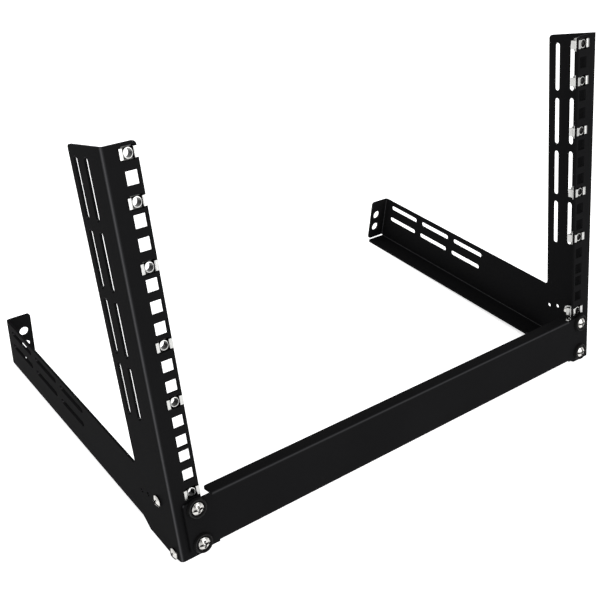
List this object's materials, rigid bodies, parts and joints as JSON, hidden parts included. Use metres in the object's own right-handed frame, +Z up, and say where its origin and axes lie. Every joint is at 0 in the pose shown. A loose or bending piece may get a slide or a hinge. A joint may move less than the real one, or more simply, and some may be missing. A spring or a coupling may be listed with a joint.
{
  "type": "open frame desktop rack",
  "caption": "Open frame desktop rack: two leaning rails with square holes on folded arms, joined by a front channel, with cage nuts in place.",
  "frame": {"origin": "on the floor under the middle of the bounding box", "axes": "+X across the rack, +Y from the front to the rear, +Z up; the rails lean back towards +Y"},
  "size_m": [0.51, 0.321, 0.3071],
  "materials": {
    "black_powder_coat": "satin black powder coat on folded steel",
    "zinc_plate": "bright zinc plate",
    "bright_screw": "bright nickel plate",
    "black_nylon": "moulded black nylon"
  },
  "bodies": {
    "root": {"side_frame_left": "black_powder_coat", "crossbar": "black_powder_coat", "side_frame_right": "black_powder_coat", "cage_nut_left_1": "zinc_plate", "cage_nut_left_2": "zinc_plate", "cage_nut_left_3": "zinc_plate", "cage_nut_left_4": "zinc_plate", "cage_nut_left_5": "zinc_plate", "cage_nut_left_6": "zinc_plate", "cage_nut_left_7": "zinc_plate", "cage_nut_left_8": "zinc_plate", "cup_washer_left_upper": "black_nylon", "rack_screw_left_upper": "bright_screw", "cup_washer_left_lower": "black_nylon", "rack_screw_left_lower": "bright_screw", "side_screw_left_upper": "bright_screw", "side_nut_left_upper": "zinc_plate", "side_screw_left_lower": "bright_screw", "side_nut_left_lower": "zinc_plate", "cage_nut_right_1": "zinc_plate", "cage_nut_right_2": "zinc_plate", "cage_nut_right_3": "zinc_plate", "cage_nut_right_4": "zinc_plate", "cage_nut_right_5": "zinc_plate", "cage_nut_right_6": "zinc_plate", "cage_nut_right_7": "zinc_plate", "cage_nut_right_8": "zinc_plate", "cup_washer_right_upper": "black_nylon", "rack_screw_right_upper": "bright_screw", "cup_washer_right_lower": "black_nylon", "rack_screw_right_lower": "bright_screw", "side_screw_right_upper": "bright_screw", "side_nut_right_upper": "zinc_plate", "side_screw_right_lower": "bright_screw", "side_nut_right_lower": "zinc_plate"}
  },
  "joints": []
}
